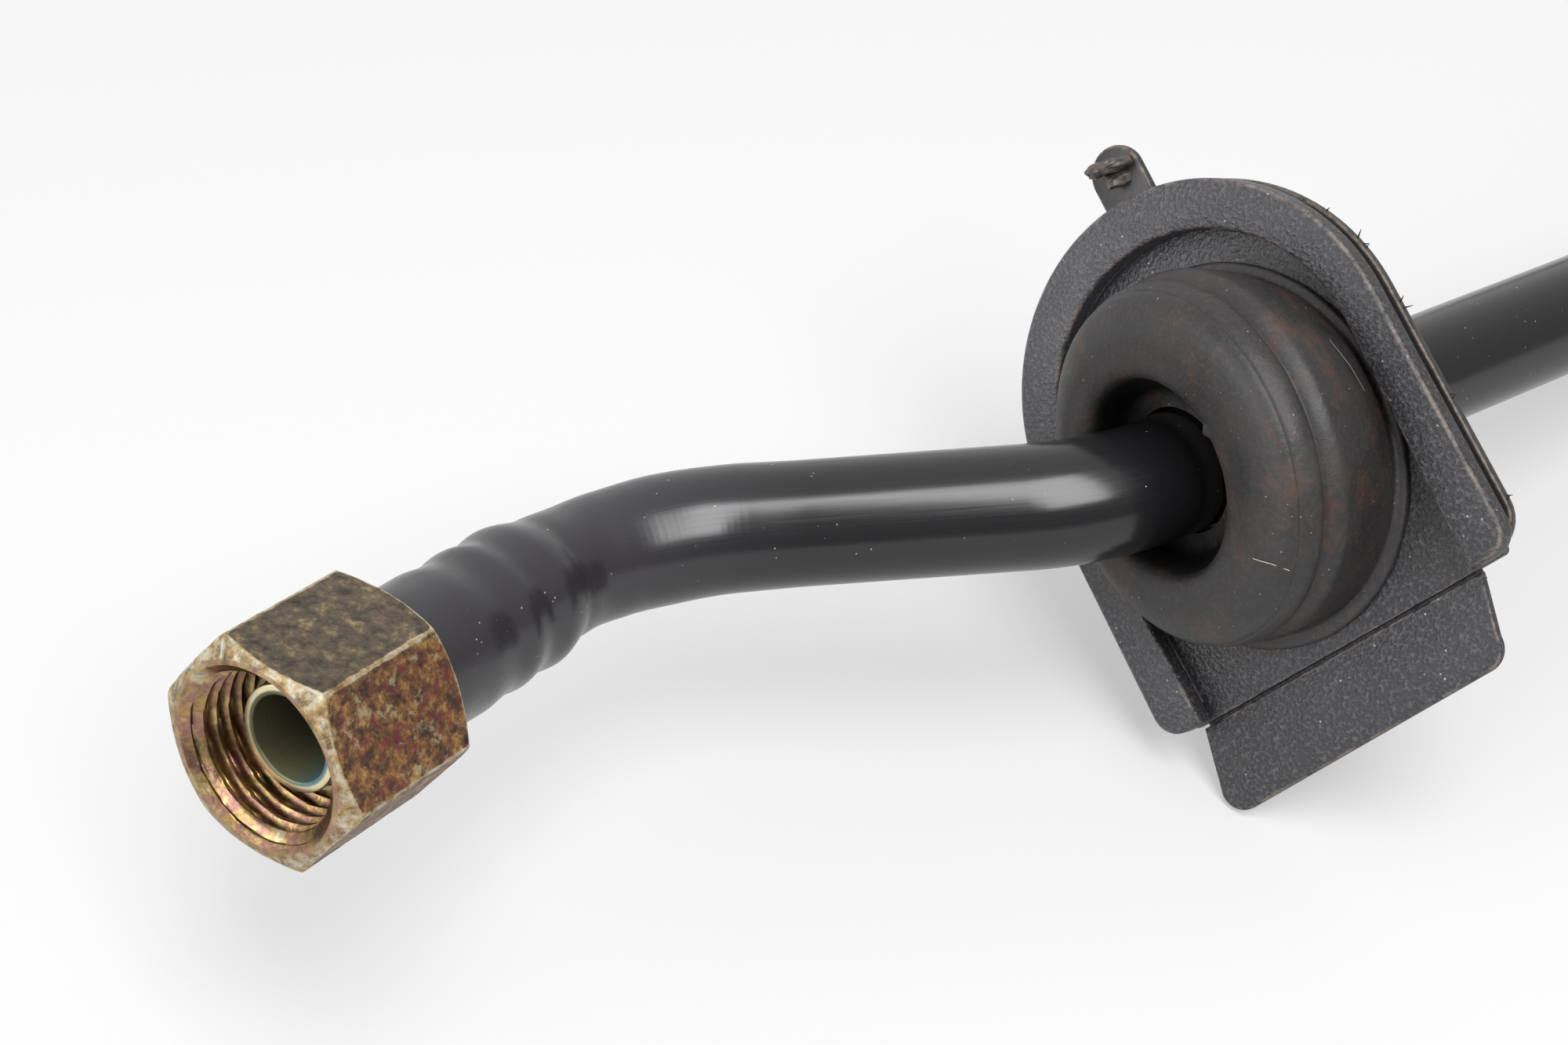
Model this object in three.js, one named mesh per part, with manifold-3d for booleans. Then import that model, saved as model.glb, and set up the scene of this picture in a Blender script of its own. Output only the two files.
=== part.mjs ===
// Vacuum line for a brake booster: a plastic-jacketed steel tube with a union nut, led through
// a bulkhead closing plate in a rubber grommet. Millimetres, +Z up, lying on the surface z = 0.
import * as THREE from 'three';
import { mergeVertices } from 'three/addons/utils/BufferGeometryUtils.js';
import Module from 'manifold-3d';

const wasm = await Module();
wasm.setup();

// steel tube and its plastic jacket
const tubeOuter = 10;
const tubeWall = 1;
const jacketOuter = 12.2;
const jacketFit = 0.3;
const bareFarEnd = 12;

// union nut, 16 mm thread
const nutFlats = 19;
const nutLength = 15.5;
const nutChamferFace = 18;
const nutRoll = -4;
const threadMinor = 14.4;
const threadDepth = 0.8;
const threadPitch = 1.5;
const threadTurns = 6;
const threadLeadIn = 17;
const nutRearBore = 11.2;
const tubeEndRecess = 4;
const nutToJacket = 0.4;

// cutting ring that the nut presses onto the tube
const ringOuter = 13.2;
const ringSetback = 2;
const ringFit = 0.3;

// jacket where it was heated and pushed over the tube's end: distance from the nut, outer diameter
const jacketWave = [
  [0, 14], [4, 14.2], [7, 14.3], [10.4, 13.1], [12.7, 14.35], [15.1, 13], [18, 14.35], [21, 12.5],
  [25.4, 11.7], [30, 12.3], [36, 12.75], [42, 12.5], [50, jacketOuter],
];

// bulkhead plate, measured on its own face
const plateHalfWidth = 21.3;
const plateDrop = 27.4;
const plateCorner = 2.6;
const rimThickness = 2.4;
const edgeRound = 0.6;
const slotWidth = 1.2;
const slotDepth = 2;
const webThickness = 1.4;
const floorDepth = 2.9;
const recessArcDrop = 1.1;
const recessDraft = 0.9;
const tabHeight = 9.4;
const tabThickness = 1.1;
const tabTopLeft = -18.2;
const tabTopRight = 16;
const tabLean = -1.6;
const tabSkew = 0.8;
const tabCorner = 2.4;
const foldGrooveWidth = 0.7;
const foldGrooveDepth = 0.8;

// rubber rear flange with its torn ear
const flangeThickness = 1.2;
const flangeFit = 0.3;
const flangeShort = 0.7;
const flangeCorner = 3.6;
const earHalfWidth = 3;
const earOffset = 1.2;
const earReach = 27.9;
const stubHeight = 2.6;

// rubber grommet: an oval foot on the plate, a round nose tilted towards the tube's bend
const grommetDrop = 6.6;
const grommetRadius = 19.4;
const grommetOval = 0.875;
const footToRecess = 0.325;
const noseRadius = 17.3;
const noseHeight = 10;
const noseTilt = 22.3;
const noseShiftX = -2;
const noseShiftY = 0.35;
const holeRadius = 9.7;
const lipHeight = 2.8;
const lipThickness = 1.8;
const neckRadius = 15.4;
const rearLipRadius = 17.4;
const rearLipThickness = 1.6;
const rubberFit = 0.3;
const grommetReach = 98;

// route of the tube: corners of its straight runs, and the bend radius at each inner corner
const nearEndX = -86.5;
const nearEndY = -23.6;
const nearEndZ = 36.3;
const neckBendX = -61.8;
const neckBendY = 12.7;
const neckBendZ = 25.1;
const neckBendRadius = 24.5;
const archBendX = -14.9;
const archBendY = 14.1;
const archBendZ = 28.4;
const archBendRadius = 23;
const landingX = 111.3;
const landingY = 107.5;
const landingRadius = 90;
const returnX = 164.2;
const returnY = 146.7;
const returnRadius = 28;
const farEndX = 57.1;
const farEndY = 265.6;
const jacketRadius = jacketOuter / 2;
const route = [
  { at: [nearEndX, nearEndY, nearEndZ] },
  { at: [neckBendX, neckBendY, neckBendZ], bend: neckBendRadius },
  { at: [archBendX, archBendY, archBendZ], bend: archBendRadius },
  { at: [landingX, landingY, jacketRadius], bend: landingRadius },
  { at: [returnX, returnY, jacketRadius], bend: returnRadius },
  { at: [farEndX, farEndY, jacketRadius] },
];

// where the plate stands on the tube, as the direction its face looks in and its roll
const plateX = -5.2;
const plateY = 23.4;
const plateZ = 33.5;
const plateAt = new THREE.Vector3(plateX, plateY, plateZ);
const plateAzimuth = -136.8;
const plateElevation = 26.6;
const plateRoll = 58;

const rad = THREE.MathUtils.degToRad;
const tubeSides = 20;
const boreSides = 36;
const outlineSteps = 18;

const steel = { color: 0xc9bd7a, roughness: 0.35, metalness: 1 };
const wornZinc = { color: 0x8a7550, roughness: 0.55, metalness: 0.8 };
const blackPlastic = { color: 0x101113, roughness: 0.28, metalness: 0 };
const grainedPlastic = { color: 0x2b2c30, roughness: 0.55, metalness: 0 };
const rubber = { color: 0x2c2926, roughness: 0.8, metalness: 0 };

const line = new THREE.Group();

function addPart(name, geometry, finish) {
  const mesh = new THREE.Mesh(geometry, new THREE.MeshStandardMaterial(finish));
  mesh.name = name;
  line.add(mesh);
  return mesh;
}

// booleans on closed meshes
function toSolid(geometry) {
  const bare = geometry.clone();
  bare.deleteAttribute('normal');
  bare.deleteAttribute('uv');
  const merged = mergeVertices(bare, 1e-4);
  return new wasm.Manifold(new wasm.Mesh({
    numProp: 3,
    vertProperties: new Float32Array(merged.attributes.position.array),
    triVerts: new Uint32Array(merged.index.array),
  }));
}

function toGeometry(solid) {
  const mesh = solid.getMesh();
  const geometry = new THREE.BufferGeometry();
  geometry.setAttribute('position', new THREE.BufferAttribute(mesh.vertProperties, 3));
  geometry.setIndex(new THREE.BufferAttribute(mesh.triVerts, 1));
  return geometry;
}

// a body of revolution about +Z from (radius, height) points that close on the axis or on themselves
function turned(points, sides) {
  const profile = points.map(([r, z]) => new THREE.Vector2(r, z));
  if (THREE.ShapeUtils.area(profile) < 0) profile.reverse();
  return new THREE.LatheGeometry(profile, sides).rotateX(Math.PI / 2);
}

function block(xRange, yRange, zRange) {
  const [x0, x1] = xRange;
  const [y0, y1] = yRange;
  const [z0, z1] = zRange;
  return new THREE.BoxGeometry(x1 - x0, y1 - y0, z1 - z0).translate((x0 + x1) / 2, (y0 + y1) / 2, (z0 + z1) / 2);
}

// Tube centreline
// Stations lie only where the section turns or changes, so straight runs stay plain.
class TubeRun extends THREE.Curve {
  constructor(stations) {
    super();
    this.stations = stations;
  }
  getPoint(t) {
    return this.stations[Math.round(t * (this.stations.length - 1))].point.clone();
  }
  getPointAt(t) {
    return this.getPoint(t);
  }
  getTangent(t) {
    return this.stations[Math.round(t * (this.stations.length - 1))].tangent.clone();
  }
  getTangentAt(t) {
    return this.getTangent(t);
  }
}

function runStations(degreesPerStep) {
  const corners = route.map((corner) => new THREE.Vector3(...corner.at));
  const directions = corners.slice(1).map((corner, i) => corner.clone().sub(corners[i]).normalize());
  const stations = [{ point: corners[0], tangent: directions[0] }];
  for (let i = 1; i < corners.length - 1; i += 1) {
    const before = directions[i - 1];
    const after = directions[i];
    const turn = before.angleTo(after);
    const axis = before.clone().cross(after).normalize();
    const reach = route[i].bend * Math.tan(turn / 2);
    const start = corners[i].clone().addScaledVector(before, -reach);
    const centre = start.clone().addScaledVector(axis.clone().cross(before), route[i].bend);
    const steps = Math.max(2, Math.ceil(turn / rad(degreesPerStep)));
    for (let k = 0; k <= steps; k += 1) {
      const angle = (turn * k) / steps;
      const point = start.clone().sub(centre).applyAxisAngle(axis, angle).add(centre);
      stations.push({ point, tangent: before.clone().applyAxisAngle(axis, angle) });
    }
  }
  stations.push({ point: corners.at(-1), tangent: directions.at(-1) });
  let along = 0;
  stations.forEach((station, i) => {
    if (i > 0) along += station.point.distanceTo(stations[i - 1].point);
    station.along = along;
  });
  return stations;
}

const runs = runStations(10);
const runLength = runs.at(-1).along;

// the part of the run between two lengths along it, with extra stations on request
function stretch(from, to, extra = []) {
  const at = (along) => {
    const next = runs.findIndex((station) => station.along >= along - 1e-9);
    const b = runs[Math.max(next, 1)];
    const a = runs[Math.max(next, 1) - 1];
    const t = (along - a.along) / (b.along - a.along);
    return { point: a.point.clone().lerp(b.point, t), tangent: a.tangent.clone().lerp(b.tangent, t).normalize(), along };
  };
  const between = runs.filter((station) => station.along > from + 0.2 && station.along < to - 0.2);
  const added = extra.filter((along) => along > from && along < to).map(at);
  const stations = [at(from), ...between, ...added, at(to)];
  return stations.sort((a, b) => a.along - b.along);
}

function roundSection(outer, inner) {
  const shape = new THREE.Shape();
  shape.absarc(0, 0, outer / 2, 0, Math.PI * 2);
  if (inner > 0) {
    const hole = new THREE.Path();
    hole.absarc(0, 0, inner / 2, 0, Math.PI * 2);
    shape.holes.push(hole);
  }
  return shape;
}

function swept(section, stations, sides) {
  return new THREE.ExtrudeGeometry(section, {
    extrudePath: new TubeRun(stations),
    steps: stations.length - 1,
    curveSegments: sides / 2,
  });
}

// frame with Z along a direction, X level, turned about Z by a roll
function facing(direction, rollDegrees) {
  const z = direction.clone().normalize();
  const x = new THREE.Vector3(0, 0, 1).cross(z).normalize();
  const y = z.clone().cross(x);
  const matrix = new THREE.Matrix4().makeBasis(x, y, z);
  return matrix.multiply(new THREE.Matrix4().makeRotationZ(rad(rollDegrees)));
}

// Steel tube
const boreDiameter = tubeOuter - 2 * tubeWall;
const steelTube = swept(roundSection(tubeOuter, boreDiameter), stretch(0, runLength), tubeSides);
addPart('steel_tube', steelTube, steel);

// Plastic jacket, swollen and rippled where it meets the nut
const jacketStart = nutLength - tubeEndRecess + nutToJacket;
const jacketEnd = runLength - bareFarEnd;
const waveEnd = jacketStart + jacketWave.at(-1)[0];

function jacketRadiusAt(along) {
  const fromNut = along - jacketStart;
  const next = jacketWave.findIndex(([at]) => at >= fromNut);
  if (next < 0) return jacketRadius;
  if (next === 0) return jacketWave[0][1] / 2;
  const [fromAt, fromOuter] = jacketWave[next - 1];
  const [toAt, toOuter] = jacketWave[next];
  const t = THREE.MathUtils.smoothstep(fromNut, fromAt, toAt);
  return THREE.MathUtils.lerp(fromOuter, toOuter, t) / 2;
}

function buildJacket() {
  const extra = [];
  for (let along = jacketStart + 1.2; along < jacketStart + 22; along += 1.2) extra.push(along);
  for (let along = jacketStart + 24; along < waveEnd; along += 4) extra.push(along);
  const stations = stretch(jacketStart, jacketEnd, extra);
  const geometry = swept(roundSection(jacketOuter, tubeOuter + 2 * jacketFit), stations, tubeSides);
  const position = geometry.attributes.position;
  const vertex = new THREE.Vector3();
  const near = stations.filter((station) => station.along <= waveEnd);
  const onOuter = (offset) => Math.abs(offset.length() - jacketRadius) < 0.05;
  for (let i = 0; i < position.count; i += 1) {
    vertex.fromBufferAttribute(position, i);
    const offsets = near.map((station) => vertex.clone().sub(station.point));
    const k = near.findIndex((station, j) => Math.abs(station.tangent.dot(offsets[j])) < 0.02 && onOuter(offsets[j]));
    if (k >= 0) {
      const radius = jacketRadiusAt(near[k].along);
      vertex.copy(near[k].point).addScaledVector(offsets[k].normalize(), radius);
      position.setXYZ(i, vertex.x, vertex.y, vertex.z);
    }
  }
  return geometry;
}

addPart('tube_jacket', buildJacket(), blackPlastic);

// Pieces on the tube's near end share a frame whose Z points out of the tube, with z = 0 at its end
const nearAxis = runs[0].tangent.clone().negate();
const nearFrame = facing(nearAxis, 0).setPosition(runs[0].point);

// Union nut
const threadLead = (threadLeadIn - threadMinor) / 2;
const threadEnd = tubeEndRecess - threadLead - 0.3 - threadTurns * threadPitch;

function buildNut() {
  const front = tubeEndRecess;
  const back = tubeEndRecess - nutLength;
  const corner = nutFlats / Math.sqrt(3);
  const hexagon = new THREE.Shape();
  for (let k = 0; k <= 6; k += 1) {
    const angle = rad(nutRoll + 60 * k);
    const x = corner * Math.cos(angle);
    const y = corner * Math.sin(angle);
    if (k === 0) hexagon.moveTo(x, y);
    else hexagon.lineTo(x, y);
  }
  const prism = new THREE.ExtrudeGeometry(hexagon, { depth: nutLength, bevelEnabled: false }).translate(0, 0, back);
  const face = nutChamferFace / 2;
  const slope = Math.tan(rad(30));
  const wide = corner + 1;
  const chamfers = turned([
    [0, front], [face, front], [wide, front - (wide - face) * slope],
    [wide, back + (wide - face) * slope], [face, back], [0, back],
  ], boreSides);
  const minor = threadMinor / 2;
  const bore = [[0, front + 1], [threadLeadIn / 2 + 1, front + 1], [minor, front - threadLead]];
  for (let turn = 0; turn < threadTurns; turn += 1) {
    const z = front - threadLead - 0.3 - turn * threadPitch;
    bore.push([minor, z], [minor + threadDepth, z - threadPitch * 0.42], [minor, z - threadPitch * 0.84]);
  }
  const rear = nutRearBore / 2;
  bore.push([minor, threadEnd], [rear, threadEnd - (minor - rear)], [rear, back - 1], [0, back - 1]);
  return toGeometry(toSolid(prism).intersect(toSolid(chamfers)).subtract(toSolid(turned(bore, boreSides))));
}

addPart('union_nut', buildNut(), wornZinc).applyMatrix4(nearFrame);

// Cutting ring on the tube, its tail seated in the nut's inner cone
function buildCuttingRing() {
  const inner = tubeOuter / 2 + ringFit;
  const outer = ringOuter / 2;
  const tip = -ringSetback;
  const shoulder = threadEnd - (threadMinor / 2 - outer) + 0.5;
  const tail = shoulder - (outer - inner) + 0.3;
  return turned([
    [inner, tip], [inner + 0.4, tip], [outer, tip - (outer - inner) * 2], [outer, shoulder],
    [inner + 0.3, tail], [inner, tail], [inner, tip],
  ], tubeSides);
}

addPart('cutting_ring', buildCuttingRing(), steel).applyMatrix4(nearFrame);

// Bulkhead plate frame: X across, Y up, Z out of the face, z = 0 on the rim
const plateNormal = new THREE.Vector3(
  Math.cos(rad(plateElevation)) * Math.cos(rad(plateAzimuth)),
  Math.cos(rad(plateElevation)) * Math.sin(rad(plateAzimuth)),
  Math.sin(rad(plateElevation)),
);
const plateFrame = facing(plateNormal, plateRoll).setPosition(plateAt);

// points of an arc from one angle to another, in degrees
function arc(x, y, radius, from, to, steps) {
  const points = [];
  for (let k = 0; k <= steps; k += 1) {
    const angle = rad(from + ((to - from) * k) / steps);
    points.push(new THREE.Vector2(x + radius * Math.cos(angle), y + radius * Math.sin(angle)));
  }
  return points;
}

// round-topped outline with square feet, drawn in from the full size by an inset
function plateOutline(inset, drop = plateDrop, footCorner = plateCorner) {
  const half = plateHalfWidth - inset;
  const foot = -drop + inset;
  const corner = Math.max(footCorner - inset, 0.4);
  return new THREE.Shape([
    ...arc(0, 0, half, 0, 180, outlineSteps),
    ...arc(-half + corner, foot + corner, corner, 180, 270, 3),
    ...arc(half - corner, foot + corner, corner, 270, 360, 3),
  ]);
}

function slab(shape, zLow, zHigh, bevel = 0) {
  return new THREE.ExtrudeGeometry(shape, {
    depth: zHigh - zLow - 2 * bevel,
    bevelEnabled: bevel > 0,
    bevelThickness: bevel,
    bevelSize: bevel,
    bevelOffset: -bevel,
    bevelSegments: 1,
    curveSegments: outlineSteps,
  }).translate(0, 0, zLow + bevel);
}

// the recess is as wide as the grommet's foot, and narrows a little down its legs
const recessRadius = grommetRadius * grommetOval + footToRecess;
const recessFootHalf = recessRadius - recessDraft;
const slotTop = -rimThickness;
const slotFloor = slotTop - slotWidth;
const webBack = slotTop - webThickness;
const flangeBack = slotFloor - flangeThickness;

function tabOutline() {
  const top = -plateDrop + 2;
  const foot = -plateDrop - tabHeight;
  const left = tabTopLeft + tabLean;
  const right = tabTopRight + tabLean;
  return new THREE.Shape([
    new THREE.Vector2(tabTopLeft, top),
    ...arc(left + tabCorner, foot + tabCorner, tabCorner, 180, 270, 4),
    ...arc(right - tabCorner, foot + tabSkew + tabCorner, tabCorner, 270, 360, 4),
    new THREE.Vector2(tabTopRight, top),
  ]);
}

function recessOutline() {
  const below = -plateDrop - 1;
  return new THREE.Shape([
    new THREE.Vector2(-recessFootHalf, below),
    new THREE.Vector2(recessFootHalf, below),
    ...arc(0, -recessArcDrop, recessRadius, 0, 180, outlineSteps),
  ]);
}

// an oval about the grommet's centre on the plate
function ovalShape(radius) {
  const points = arc(0, 0, radius, 0, 360, boreSides).slice(0, -1);
  return new THREE.Shape(points.map((point) => new THREE.Vector2(point.x * grommetOval, point.y - grommetDrop)));
}

function buildPlate() {
  const rim = toSolid(slab(plateOutline(0), slotTop, 0, edgeRound));
  const web = toSolid(slab(plateOutline(slotDepth), webBack, slotTop + 0.5));
  const tab = toSolid(slab(tabOutline(), -floorDepth - tabThickness, -floorDepth));
  const recess = toSolid(slab(recessOutline(), -floorDepth, 1));
  const hole = toSolid(slab(ovalShape(neckRadius + rubberFit), webBack - 1, 1));
  const fold = toSolid(block(
    [-plateHalfWidth - 1, plateHalfWidth + 1],
    [-plateDrop - foldGrooveWidth, -plateDrop],
    [-floorDepth - foldGrooveDepth, 1],
  ));
  return toGeometry(rim.add(web).add(tab).subtract(recess).subtract(hole).subtract(fold));
}

addPart('bulkhead_plate', buildPlate(), grainedPlastic).applyMatrix4(plateFrame);

// Rubber rear flange: closes the slot from behind, with an ear and the torn stub of its pull
function buildRearFlange() {
  const drop = plateDrop - flangeShort;
  const body = toSolid(slab(plateOutline(0, drop, flangeCorner), flangeBack, slotFloor, 0.3));
  const earCentre = earReach - earHalfWidth;
  const ear = new THREE.Shape([
    new THREE.Vector2(earOffset - earHalfWidth, plateHalfWidth - 3),
    new THREE.Vector2(earOffset + earHalfWidth, plateHalfWidth - 3),
    ...arc(earOffset, earCentre, earHalfWidth, 0, 180, 8),
  ]);
  const earSolid = toSolid(slab(ear, flangeBack, slotFloor));
  const stub = turned([[0, -0.5], [2.1, -0.5], [1.8, stubHeight * 0.6], [0.9, stubHeight], [0, stubHeight * 0.8]], 10);
  stub.scale(1, 0.6, 1).rotateZ(rad(20)).translate(earOffset - 0.6, earCentre, slotFloor);
  const seat = toSolid(slab(plateOutline(slotDepth - flangeFit), webBack - flangeFit, slotFloor + 1));
  const tabSeat = toSolid(slab(tabOutline(), -floorDepth - tabThickness - flangeFit, slotFloor + 1));
  const hole = toSolid(slab(ovalShape(rearLipRadius + rubberFit), flangeBack - 1, slotFloor + 1));
  return toGeometry(body.add(earSolid).add(toSolid(stub)).subtract(seat).subtract(tabSeat).subtract(hole));
}

addPart('rear_flange', buildRearFlange(), rubber).applyMatrix4(plateFrame);

// Rubber grommet: oval foot on the plate's floor, rolled round nose, inner lip gripping the tube
// Each ring has a radius, a height over the floor, how far it has gone over to the nose's place and
// tilt, and how far it follows the tube in place and lean.
function grommetRings() {
  const foot = rubberFit;
  const web = webBack + floorDepth - rubberFit;
  const back = web - rearLipThickness;
  const lipBack = lipHeight - lipThickness;
  const [nose, high, hole] = [noseRadius, noseHeight, holeRadius];
  return [
    [0, lipBack, 0, 1, 0.6], [7.2, lipBack, 0, 1, 0.6], [7.2, web, 0, 1, 0.2], [9, back, 0, 0.5, 0],
    [rearLipRadius - 0.8, back, 0, 0, 0], [rearLipRadius, back + 0.6, 0, 0, 0], [rearLipRadius, web, 0, 0, 0],
    [neckRadius, web, 0, 0, 0], [neckRadius, foot, 0, 0, 0], [grommetRadius, foot, 0, 0, 0],
    [grommetRadius, foot + 0.7, 0, 0, 0], [grommetRadius - 0.4, foot + 2, 0.3, 0, 0],
    [nose + 1.3, high / 2 - 1, 0.8, 0, 0], [nose + 1.1, high - 4.4, 1, 0, 0], [nose + 0.4, high - 2.7, 1, 0, 0],
    [nose + 0.4, high - 1.5, 1, 0, 0], [nose, high, 1, 0, 0], [nose - 0.8, high + 0.9, 1, 0.03, 0.03],
    [nose - 2.1, high + 1.35, 1, 0.09, 0.09], [nose - 3.6, high + 1.35, 1, 0.16, 0.16],
    [hole + 2.4, high + 0.9, 1, 0.25, 0.25], [hole + 1.1, high - 0.1, 1, 0.36, 0.36],
    [hole + 0.1, high - 1.5, 1, 0.45, 0.45], [hole - 0.3, high / 2 + 2, 1, 0.58, 0.58],
    [hole - 0.6, high / 2, 1, 0.8, 0.8], [hole - 1, lipHeight + 0.8, 1, 1, 0.7],
    [hole - 2, lipHeight, 1, 1, 0.6], [0, lipHeight, 1, 1, 0.6],
  ];
}

// keeps a point inside the foot's oval, as rubber pressed down between floor and rim
function pressIn(vertex, lowest) {
  vertex.z = Math.max(vertex.z, lowest);
  if (vertex.z > 5 * rubberFit) return;
  const fromFoot = Math.hypot(vertex.x / grommetOval, vertex.y + grommetDrop);
  const shrink = Math.min(1, grommetRadius / fromFoot);
  vertex.x *= shrink;
  vertex.y = (vertex.y + grommetDrop) * shrink - grommetDrop;
}

function buildGrommet() {
  const rings = grommetRings();
  const geometry = turned(rings.map(([radius], i) => [radius, i]), boreSides);
  const out = new THREE.Vector3(0, 0, 1);
  const run = route.findIndex((corner) => corner.at[1] > plateAt.y) - 1;
  const [from, to] = [route[run], route[run + 1]].map((corner) => new THREE.Vector3(...corner.at));
  const toPlate = plateFrame.clone().invert();
  const tubeAxis = from.clone().sub(to).transformDirection(toPlate);
  const onTube = from.clone().applyMatrix4(toPlate);
  const floorPoint = onTube.addScaledVector(tubeAxis, (-floorDepth - onTube.z) / tubeAxis.z);
  const footPoint = new THREE.Vector3(0, -grommetDrop, -floorDepth);
  const noseAxis = new THREE.Vector3(-Math.sin(rad(noseTilt)), 0, Math.cos(rad(noseTilt)));
  const nosePoint = footPoint.clone().add(new THREE.Vector3(noseShiftX, noseShiftY, noseHeight));
  const footRing = rings.findIndex(([radius]) => radius === grommetRadius);
  const position = geometry.attributes.position;
  const vertex = new THREE.Vector3();
  for (let i = 0; i < position.count; i += 1) {
    vertex.fromBufferAttribute(position, i);
    const ring = Math.round(vertex.z);
    const [radius, height, over, shift, lean] = rings[ring];
    const axis = out.clone().lerp(noseAxis, over).lerp(tubeAxis, lean).normalize();
    const followed = floorPoint.clone().addScaledVector(tubeAxis, height / tubeAxis.z);
    const tilted = nosePoint.clone().addScaledVector(noseAxis, (height - noseHeight) / noseAxis.z);
    const plain = footPoint.clone().addScaledVector(out, height).lerp(tilted, over);
    vertex.set(vertex.x * THREE.MathUtils.lerp(grommetOval, 1, Math.max(over, shift)), vertex.y, 0);
    vertex.applyQuaternion(new THREE.Quaternion().setFromUnitVectors(out, axis)).add(plain.lerp(followed, shift));
    if (ring >= footRing && radius > noseRadius - 0.9) {
      pressIn(vertex, rubberFit - floorDepth + 0.15 * (ring - footRing));
    }
    position.setXYZ(i, vertex.x, vertex.y, vertex.z);
  }
  geometry.applyMatrix4(plateFrame);
  const clearRun = stretch(waveEnd, waveEnd + grommetReach);
  const clearance = swept(roundSection(jacketOuter + 2 * rubberFit, 0), clearRun, tubeSides);
  return toGeometry(toSolid(geometry).subtract(toSolid(clearance)));
}

addPart('grommet', buildGrommet(), rubber);

// The origin is the middle of the footprint, at the height of what the line lies on
line.updateMatrixWorld(true);
const bounds = new THREE.Box3().setFromObject(line, true);
const middle = bounds.getCenter(new THREE.Vector3());
line.position.set(-middle.x, -middle.y, -bounds.min.z);

export default line;
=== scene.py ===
# Brake booster line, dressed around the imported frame. Metres; +Z up; it lies on the floor at z = 0.
import math

import bmesh
import bpy
from mathutils import Matrix, Vector, noise


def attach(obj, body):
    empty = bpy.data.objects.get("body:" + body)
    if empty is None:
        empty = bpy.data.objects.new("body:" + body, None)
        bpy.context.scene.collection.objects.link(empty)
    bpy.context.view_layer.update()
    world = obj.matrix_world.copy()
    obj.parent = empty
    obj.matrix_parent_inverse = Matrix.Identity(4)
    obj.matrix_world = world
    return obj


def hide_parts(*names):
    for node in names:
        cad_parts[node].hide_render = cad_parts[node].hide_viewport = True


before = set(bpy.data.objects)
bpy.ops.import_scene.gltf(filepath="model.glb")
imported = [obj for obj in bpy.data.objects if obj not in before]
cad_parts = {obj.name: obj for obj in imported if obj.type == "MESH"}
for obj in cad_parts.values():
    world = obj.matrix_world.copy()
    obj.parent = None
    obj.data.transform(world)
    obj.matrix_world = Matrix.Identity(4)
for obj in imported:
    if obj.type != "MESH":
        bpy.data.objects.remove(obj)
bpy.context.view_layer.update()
mm = 0.001

# from the tab's lowest corner, which the route is measured from, to the model's origin
tabCorner = Vector((-29.898, -118.32, -0.015)) * mm

# camera and light; the stage is in metres and watts, all other settings are in millimetres and degrees

cameraSet = {"place": (-45.45, -165.64, 193.29), "pitch": 43, "lens": 58.5, "sensor": 36, "near": 0.01}
stageSet = {
    "table": 0.36, "tableGlow": 0.335, "tableHalf": 2.5,
    # how bright the surroundings are before, beside and behind the object, and how far they fade to the right
    "front": 0.3, "side": 0.85, "back": 1.0, "rightFrom": 0.2, "rightFade": 0.5,
    "aim": (-0.03, -0.11, 0.02),
    "overheadPower": 10.6, "overheadSize": (0.45, 0.92), "overheadPlace": (0.15, -0.47, 0.85),
    "leftPower": 8.0, "leftSize": (1.0, 0.8), "leftPlace": (-0.9, -0.62, 0.42),
}


def srgb(hexColour):
    values = [int(hexColour[k : k + 2], 16) / 255 for k in (1, 3, 5)]
    return [v / 12.92 if v <= 0.04045 else ((v + 0.055) / 1.055) ** 2.4 for v in values] + [1.0]


def addNode(tree, kind, links=None, **settings):
    # a setting named in_ and a socket's name or number sets that input, any other sets the node itself
    node = tree.nodes.new(kind)
    for key, value in settings.items():
        if key.startswith("in_"):
            name = key[3:]
            socket = node.inputs[int(name)] if name.isdigit() else node.inputs[name.replace("_", " ")]
            socket.default_value = value
        else:
            setattr(node, key, value)
    for name, source in (links or {}).items():
        tree.links.new(source, node.inputs[name])
    return node


def ramp(tree, source, *stops):
    # each stop is a position and a colour or a plain level
    node = addNode(tree, "ShaderNodeValToRGB", {"Fac": source})
    elements = node.color_ramp.elements
    elements[0].position, elements[1].position = stops[0][0], stops[-1][0]
    for at, _ in stops[1:-1]:
        elements.new(at)
    for element, (_, colour) in zip(elements, stops):
        element.color = srgb(colour) if isinstance(colour, str) else (colour, colour, colour, 1)
    return node.outputs["Color"]


def makeCamera():
    data = bpy.data.cameras.new("photoCamera")
    data.sensor_fit = "HORIZONTAL"
    data.sensor_width = cameraSet["sensor"]
    data.lens = cameraSet["lens"]
    data.clip_start = cameraSet["near"]
    camera = bpy.data.objects.new("photoCamera", data)
    bpy.context.scene.collection.objects.link(camera)
    camera.location = Vector(cameraSet["place"]) * mm + tabCorner
    camera.rotation_euler = (math.radians(90 - cameraSet["pitch"]), 0, 0)
    bpy.context.scene.camera = camera


def makeLamp(name, power, size, place):
    data = bpy.data.lights.new(name, "AREA")
    data.shape = "RECTANGLE"
    data.size, data.size_y = size
    data.energy = power
    lamp = bpy.data.objects.new(name, data)
    bpy.context.scene.collection.objects.link(lamp)
    lamp.location = place
    aim = Vector(stageSet["aim"]) - lamp.location
    lamp.rotation_euler = aim.to_track_quat("-Z", "Y").to_euler()


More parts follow.
